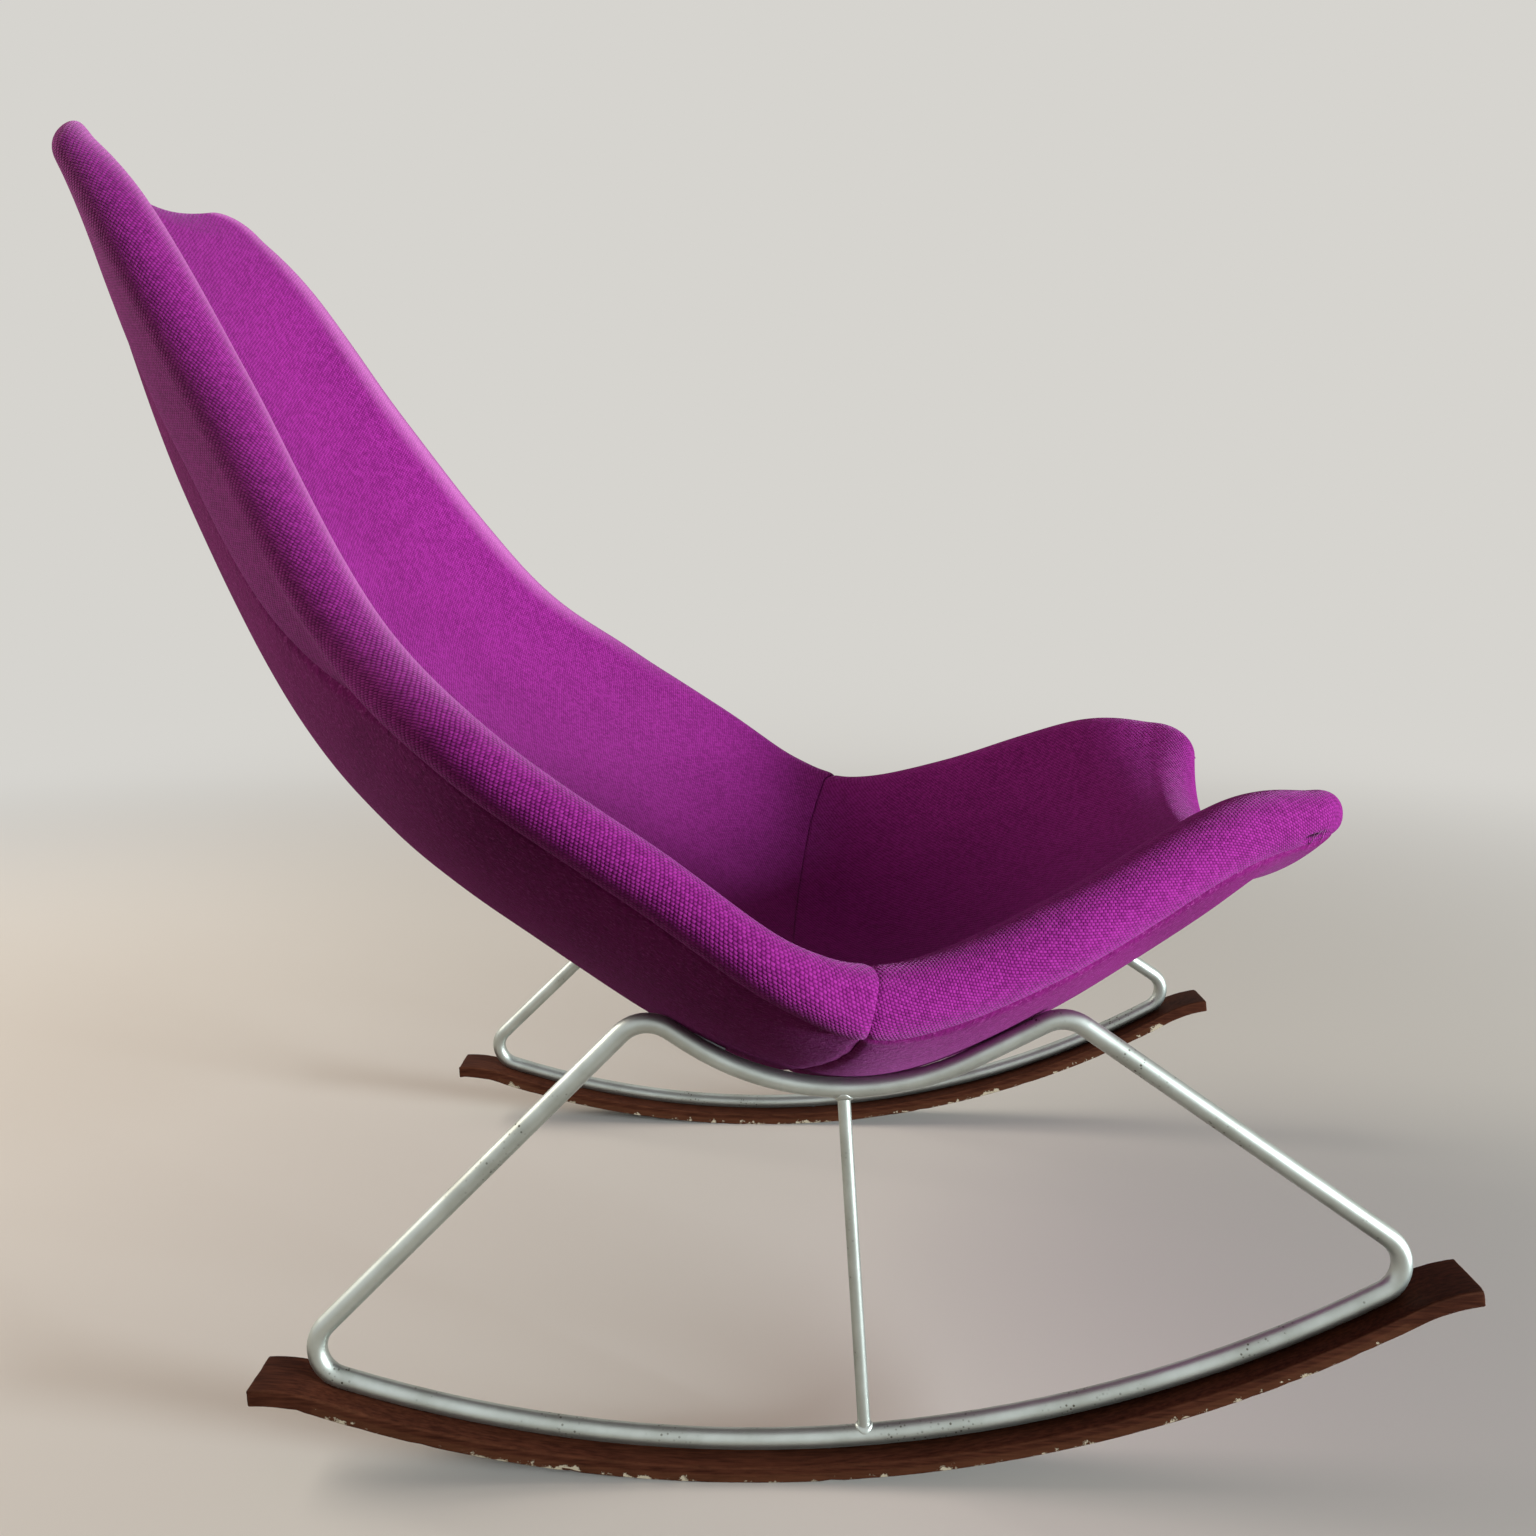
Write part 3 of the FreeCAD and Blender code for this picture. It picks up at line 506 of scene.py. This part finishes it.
def cover_mesh(surface, places, shares):
    """Cloth laid over the body: a grid whose rows are places along it and columns shares across it."""
    bm = bmesh.new()
    rows, columns = len(places) - 1, len(shares) - 1
    sections = [Section(p) for p in places]

    def slanted(row, share):
        near = 1 - smooth(abs(places[row] - CROSS_SEAM) / CROSS_PULL)
        if not near:
            return sections[row]
        if surface == "inner":
            rolled = smooth((abs(share) - 0.75) / 0.6)
        else:
            rolled = smooth((abs(share) - 0.55) / 0.4)
        return Section(places[row] + near * (CROSS_IN_DISH + rolled * (CROSS_ON_ROLL - CROSS_IN_DISH)))

    gap_middle = Section(GAP_PLACE).inner(GAP_SHARE, 0)[0]
    gap_way = (gap_middle - Section(GAP_PLACE - 0.1).inner(GAP_SHARE, 0)[0]).normalized()
    along = [0.0]
    for a, b in zip(sections, sections[1:]):
        along.append(along[-1] + (b.middle - a.middle).length)
    crease = along[places.index(CROSS_SEAM)]
    cloth = bm.loops.layers.uv.new("cloth")
    ridge = bm.verts.layers.float.new("ridge")
    gap = bm.verts.layers.float.new("gap")
    bmesh.ops.create_grid(bm, x_segments=columns, y_segments=rows, size=0.5)
    flat = {}
    for vert in bm.verts:
        row = round((vert.co.y + 0.5) * rows)
        share = shares[round((vert.co.x + 0.5) * columns)]
        section = slanted(row, share)
        lay = section.inner if surface == "inner" else section.outer
        spot, far = lay(share, 0)
        from_seam = max(0.0, section.inner(2, 0)[1] - abs(far)) if surface == "inner" else SEAM_WIDTH
        from_cross = abs(along[row] - crease)
        dip = groove(from_seam, SEAM_WIDTH, SEAM_DEPTH * section.open)
        dip += groove(from_cross, CROSS_WIDTH, CROSS_DEPTH)
        dip += PUCKER_HEIGHT * math.sin(far / PUCKER_PITCH) * math.exp(-from_cross / PUCKER_REACH)
        dip += (WAVE_HEIGHT * noise.noise(spot * WAVES_PER_METRE)
                + DIMPLE_HEIGHT * noise.noise(spot * DIMPLES_PER_METRE))
        # The gap mask dents the cloth at the opened seam and also marks where painted shade darkens it
        if surface == "inner" and share < -1:
            from_gap = (spot - gap_middle).dot(gap_way) / GAP_LENGTH
            from_lips = (far - section.inner(GAP_SHARE, 0)[1]) / GAP_WIDTH
            vert[gap] = math.exp(-from_lips ** 2 - from_gap ** 4)
            dip += GAP_DEPTH * vert[gap]
        # The ridge mask raises the cloth and also marks where a painted highlight makes it paler
        if surface == "inner":
            from_ridge = (abs(far) - section.inner(RIDGE_SHARE, 0)[1]) / RIDGE_WIDTH
            faded = smooth((places[row] - RIDGE_FADES[0]) / RIDGE_FADES[1])
            vert[ridge] = math.exp(-from_ridge ** 2) * (1 - faded)
            dip -= min(RIDGE_HEIGHT, RIDGE_MOST * section.roll) * vert[ridge]
        dip = min(max(dip, -MOST_OUT * section.roll), MOST_IN * section.roll)
        vert.co = lay(share, dip)[0]
        flat[vert.index] = (far, along[row])
    for face in bm.faces:
        for loop in face.loops:
            loop[cloth].uv = flat[loop.vert.index]
    bmesh.ops.remove_doubles(bm, verts=bm.verts, dist=2e-5)
    return bm


ROWS_PER_STATION = 12
NOSE_ROWS = 12
CROSS_ROWS = (0.055, 0.03, 0.014)


def rows_between(first, last):
    count = round((last - first) * ROWS_PER_STATION)
    return [first + k / ROWS_PER_STATION for k in range(count + 1)]


nose_places = [math.sin(k / NOSE_ROWS * math.pi / 2) * NOSE_END for k in range(1, NOSE_ROWS + 1)]
back_places = [-p for p in reversed(nose_places)] + rows_between(0, CROSS_SEAM)[:-1]
back_places += [CROSS_SEAM - step for step in CROSS_ROWS] + [CROSS_SEAM]
seat_places = [CROSS_SEAM] + [CROSS_SEAM + step for step in reversed(CROSS_ROWS)]
seat_places += rows_between(CROSS_SEAM, LAST)[1:]
seat_places += [LAST + p for p in nose_places]
outer_shares = [math.sin(k / 36 * math.pi / 2) for k in range(-36, 37)]


def felt_finish():
    material, start = new_finish("felted_wool", {
        "Roughness": 0.95, "Specular IOR Level": 0.05, "Sheen Weight": 0.26, "Sheen Roughness": 0.4,
        "Sheen Tint": colour(230, 140, 214)})
    fibre = start.noise(start.place((30, 30, 9)), 12.0, 6.0, 0.7)
    stray = start.noise(start.place((12, 40, 34)), 15.0, 4.0, 0.65)
    pill = start.noise(start.place(), 240.0, 3.0, 0.7)
    cloud = start.noise(start.place(), 9.0, 3.0)
    tone = (fibre * 0.5 + pill * 0.35 + cloud * 0.35).step(0.3, 0.9)
    body = tone.mix(colour(84, 8, 64), colour(152, 34, 126))
    (stray.step(0.53, 0.68) * 0.6).mix(body, colour(190, 84, 166)).drive("Base Color")
    start.bump(fibre * 0.6 + pill * 0.6 + stray * 0.5, 0.0014, 0.9).drive("Normal")
    return material


def dress(made, nodes):
    """Gives a cover its thickness and a smooth skin, and hides the solids it stands for."""
    wall = made.modifiers.new("cloth_thickness", "SOLIDIFY")
    wall.thickness = CLOTH_THICKNESS
    wall.offset = -1.0
    skin = made.modifiers.new("smooth_skin", "SUBSURF")
    skin.levels = skin.render_levels = 1
    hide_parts(*nodes)


def outward(bm, inside):
    """Turns a cover's faces away from a point inside the body."""
    face = max(bm.faces, key=lambda f: f.calc_area())
    if face.normal.dot(face.calc_center_median() - inside) < 0:
        bmesh.ops.reverse_faces(bm, faces=bm.faces)
    return bm


felt = felt_finish()
for name, node, places in (
        ("outer_back", "back_shell", back_places),
        ("outer_seat", "seat_shell", seat_places)):
    bm = cover_mesh("outer", places, outer_shares)
    bm.normal_update()
    middle_place = Section(places[len(places) // 2])
    outward(bm, middle_place.point(0, middle_place.dish_middle))
    dress(add_piece(name, bm, felt), [node])

# Inner covers
# Woven wool over the foam of the back and of the seat, each wrapped over its two padded edge
# rolls. The two panels are sewn together in a cross seam just below the crease.

roll_shares = [1 + k / 30 for k in range(1, 27)]
roll_shares += [1.9, 1.93, 1.955, 1.98, 2.0]
roll_shares += [2 + k / 5 for k in range(1, 6)]
inner_shares = [-s for s in reversed(roll_shares)] + [k / 28 for k in range(-28, 29)] + roll_shares

WEAVE_PITCH = 0.0020
STITCH_PITCH = 0.0028


def wool_finish():
    material, start = new_finish("woven_wool", {
        "Roughness": 0.92, "Specular IOR Level": 0.06, "Sheen Weight": 0.34, "Sheen Roughness": 0.4,
        "Sheen Tint": colour(236, 160, 226)})
    cloth = start.node("UVMap", {"uv_map": "cloth"}, {})
    wander = start.noise(start.place(), 60.0, 3.0) * (1.1 * WEAVE_PITCH)
    across = start.node("SeparateXYZ", {}, {0: cloth}, output=0) + wander
    along = start.node("SeparateXYZ", {}, {0: cloth}, output=1) + wander
    row = across.math("FLOOR", across * (1 / WEAVE_PITCH))
    stitch = along * (1 / STITCH_PITCH) + row.math("MULTIPLY", row, 0.38)
    weft = across.math("SINE", across * (math.pi / WEAVE_PITCH))
    warp = stitch.math("SINE", stitch * math.pi)
    knot = (weft * warp).math("ABSOLUTE", weft * warp) ** 0.7
    cell = start.node("CombineXYZ", {}, {0: row, 1: stitch.math("FLOOR", stitch)})
    yarn = start.node("TexWhiteNoise", {"noise_dimensions": "2D"}, {"Vector": cell})
    fuzz = start.noise(start.place(), 520.0, 3.0, 0.7)
    cloud = start.noise(start.place(), 11.0, 3.0)
    # The tone is darker in the hollows between the knots of the weave, which is painted shade, and varies
    # at random with the yarn, the fuzz and a broad cloud
    tone = (knot * 0.45 + yarn * 0.25 + fuzz * 0.3 + cloud * 0.2).step(0.15, 1.05)
    # Painted highlight: the ridge is coloured paler where its crest would catch the light
    lightened = start.node("Attribute", {"attribute_name": "ridge"}, {}, output=2)
    plain = tone.mix(colour(98, 10, 82), colour(178, 50, 156))
    paled = (lightened * (0.5 + 0.6 * fuzz)).mix(plain, colour(214, 122, 190))
    # Painted shade: the opened seam is coloured near black for the shadow inside the opening
    painted_gap_shade = start.node("Attribute", {"attribute_name": "gap"}, {}, output=2).step(0.35, 0.8)
    painted_gap_shade.mix(paled, colour(34, 3, 26)).drive("Base Color")
    start.bump(knot + fuzz * 0.5, 0.0006, 0.8).drive("Normal")
    return material


wool = wool_finish()
for name, solids, places in (
        ("inner_back", ("back_pad", "back_roll_right", "back_roll_left"), back_places),
        ("inner_seat", ("seat_pad", "seat_roll_right", "seat_roll_left"), seat_places)):
    bm = cover_mesh("inner", places, inner_shares)
    bm.normal_update()
    middle_place = Section(places[len(places) // 2])
    outward(bm, middle_place.point(0, -middle_place.dish_radius))
    dress(add_piece(name, bm, wool), solids)

# Broken stitches
# Loose ends of the sewing thread that still cross the opened seam under the right front corner.

THREAD_RADIUS = 0.00022
THREAD_SPAN = 0.09
THREAD_SINK = 0.0004
threads = bmesh.new()
for at, lean, drop in ((-0.06, 0.05, 0.0), (0.03, -0.07, 0.0), (0.10, 0.04, 0.0006)):
    above = Section(GAP_PLACE + at).inner(GAP_SHARE + THREAD_SPAN, THREAD_SINK)[0]
    below = Section(GAP_PLACE + at + lean).inner(GAP_SHARE - THREAD_SPAN, THREAD_SINK)[0]
    below -= Vector((0, 0, drop))
    length = below - above
    turn = Vector((0, 0, 1)).rotation_difference(length).to_matrix().to_4x4()
    bmesh.ops.create_cone(threads, cap_ends=True, segments=8, radius1=THREAD_RADIUS, radius2=THREAD_RADIUS,
                          depth=length.length, matrix=Matrix.Translation((above + below) / 2) @ turn)
thread_cotton, cotton_start = new_finish("sewing_thread", {"Roughness": 0.8, "Specular IOR Level": 0.1})
cotton_twist = cotton_start.noise(cotton_start.place(), 900.0, 2.0)
cotton_twist.mix(colour(120, 30, 104), colour(204, 150, 192)).drive("Base Color")
add_piece("broken_stitches", threads, thread_cotton)

# Studio
# A pale sweep of floor and backdrop that glows evenly away from the chair, a wide soft light from
# the front of the chair, a weaker warm one from behind it, and an even pale surround.

FLOOR_COLOUR = colour(236, 229, 220)
FLOOR_BOUNCE = colour(120, 112, 102)
BACKDROP_GLOW = colour(214, 212, 207)
BLACK = (0, 0, 0, 1)
GLOW_STARTS = 0.6
GLOW_FULL = 3.6
SWEEP_REACH = 25
SWEEP_BACK = 2.5
SWEEP_RADIUS = 1.5
SWEEP_HEIGHT = 4
SURROUND_LIGHT = 0.13
SURROUND_SHOWN = 0.85
sweep = bmesh.new()
front_edge = bmesh.ops.create_vert(sweep, co=(-SWEEP_REACH, -SWEEP_REACH, 0))["vert"][0]
far_edge = bmesh.ops.create_vert(sweep, co=(SWEEP_REACH, -SWEEP_REACH, 0))["vert"][0]
edge = sweep.edges.new((front_edge, far_edge))
laid = bmesh.ops.extrude_edge_only(sweep, edges=[edge])["geom"]
bmesh.ops.translate(sweep, verts=[g for g in laid if isinstance(g, bmesh.types.BMVert)],
                    vec=(0, SWEEP_REACH + SWEEP_BACK, 0))
edge = [g for g in laid if isinstance(g, bmesh.types.BMEdge)][0]
curved = bmesh.ops.spin(sweep, geom=list(edge.verts) + [edge], cent=(0, SWEEP_BACK, SWEEP_RADIUS),
                        axis=(1, 0, 0), angle=math.pi / 2, steps=24)["geom_last"]
top_edges = [g for g in curved if isinstance(g, bmesh.types.BMEdge)]
wall = bmesh.ops.extrude_edge_only(sweep, edges=top_edges)["geom"]
bmesh.ops.translate(sweep, verts=[g for g in wall if isinstance(g, bmesh.types.BMVert)],
                    vec=(0, 0, SWEEP_HEIGHT))
bmesh.ops.recalc_face_normals(sweep, faces=sweep.faces)
floor_mesh = bpy.data.meshes.new("studio_floor")
sweep.to_mesh(floor_mesh)
sweep.free()
floor_mesh.shade_smooth()
floor_material, floor_start = new_finish("pale_floor", {
    "Roughness": 0.8, "Specular IOR Level": 0.0, "Emission Strength": 1.0})
floor_seen = floor_start.node("LightPath", {}, {}, output=0)
floor_mirrored = floor_start.node("LightPath", {}, {}, output=3)
floor_through = floor_start.node("LightPath", {}, {}, output=6)
floor_reflected = floor_mirrored.math("MAXIMUM", floor_mirrored, floor_through)
floor_shown = floor_seen.math("MAXIMUM", floor_seen, floor_reflected)
floor_distance = floor_start.node("VectorMath", {"operation": "LENGTH"},
                                  {0: floor_start.place()}, output=1)
floor_far = floor_distance.step(GLOW_STARTS, GLOW_FULL)
floor_near_colour = floor_far.mix(FLOOR_COLOUR, BLACK)
floor_shown.mix(FLOOR_BOUNCE, floor_near_colour).drive("Base Color")
(floor_shown * floor_far).mix(BLACK, BACKDROP_GLOW).drive("Emission Color")
floor_mesh.materials.append(floor_material)
floor = bpy.data.objects.new("studio_floor", floor_mesh)
bpy.context.scene.collection.objects.link(floor)


def soft_light(name, place, target, size, power, tint):
    lamp = bpy.data.lights.new(name, "AREA")
    lamp.shape = "SQUARE"
    lamp.size = size
    lamp.energy = power
    lamp.color = tint
    stand = bpy.data.objects.new(name, lamp)
    stand.location = place
    stand.rotation_euler = (Vector(target) - Vector(place)).to_track_quat("-Z", "Y").to_euler()
    bpy.context.scene.collection.objects.link(stand)


soft_light("front_light", (5.6, -2.6, 0.95), (0.1, 0, 0.42), 1.8, 670, (0.83, 0.94, 1.0))
soft_light("rear_light", (-2.6, 0.5, 1.9), (-0.2, 0, 0.6), 1.6, 60, (1.0, 0.93, 0.84))

world = bpy.data.worlds.new("surround")
bpy.context.scene.world = world
world.use_nodes = True
surround = Value(world.node_tree)
seen = surround.node("LightPath", {}, {}, output=0)
mirrored = surround.node("LightPath", {}, {}, output=3)
through = surround.node("LightPath", {}, {}, output=6)
shown = seen.math("MAXIMUM", seen, mirrored.math("MAXIMUM", mirrored, through))
glow = world.node_tree.nodes["Background"]
glow_colour = shown.mix((1.0, 0.84, 0.72, 1), (0.94, 0.97, 1.0, 1))
glow_strength = SURROUND_LIGHT + SURROUND_SHOWN * shown
world.node_tree.links.new(glow_colour.socket, glow.inputs["Color"])
world.node_tree.links.new(glow_strength.socket, glow.inputs["Strength"])

# Degrees that the camera looks down, and that it is turned to the left
EYE_DOWN = 9.064
EYE_LEFT = 0.898
eye = bpy.data.cameras.new("eye")
eye.lens = 29.53
eye.sensor_width = 36
camera = bpy.data.objects.new("eye", eye)
camera.location = (0.04195, -1.07678, 0.62018)
camera.rotation_euler = (math.radians(90 - EYE_DOWN), 0, math.radians(EYE_LEFT))
bpy.context.scene.collection.objects.link(camera)
bpy.context.scene.camera = camera
bpy.context.scene.view_settings.view_transform = "Standard"
